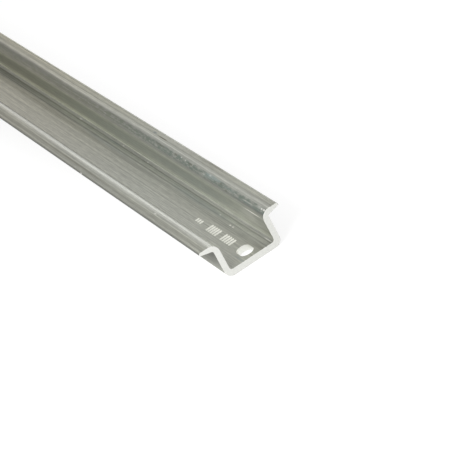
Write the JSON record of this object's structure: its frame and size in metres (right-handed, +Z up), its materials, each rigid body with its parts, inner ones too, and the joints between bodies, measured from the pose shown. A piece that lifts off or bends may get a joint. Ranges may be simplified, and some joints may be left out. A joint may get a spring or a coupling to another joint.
{
  "type": "aluminium mounting rail",
  "caption": "Extruded aluminium top-hat mounting rail with thinned lips and an elongated screw slot near each end, for clip-on electrical devices.",
  "frame": {"origin": "on the web's underside, in the middle of the rail's width and length", "axes": "+X across the rail from wall to wall, +Y along its length, +Z up out of the channel's open side"},
  "size_m": [0.035, 1, 0.015],
  "materials": {
    "mill_aluminium": "mill finish with fine die lines along the length and pale, matt sawn ends"
  },
  "bodies": {
    "root": {"extruded_rail": "mill_aluminium"}
  },
  "joints": []
}
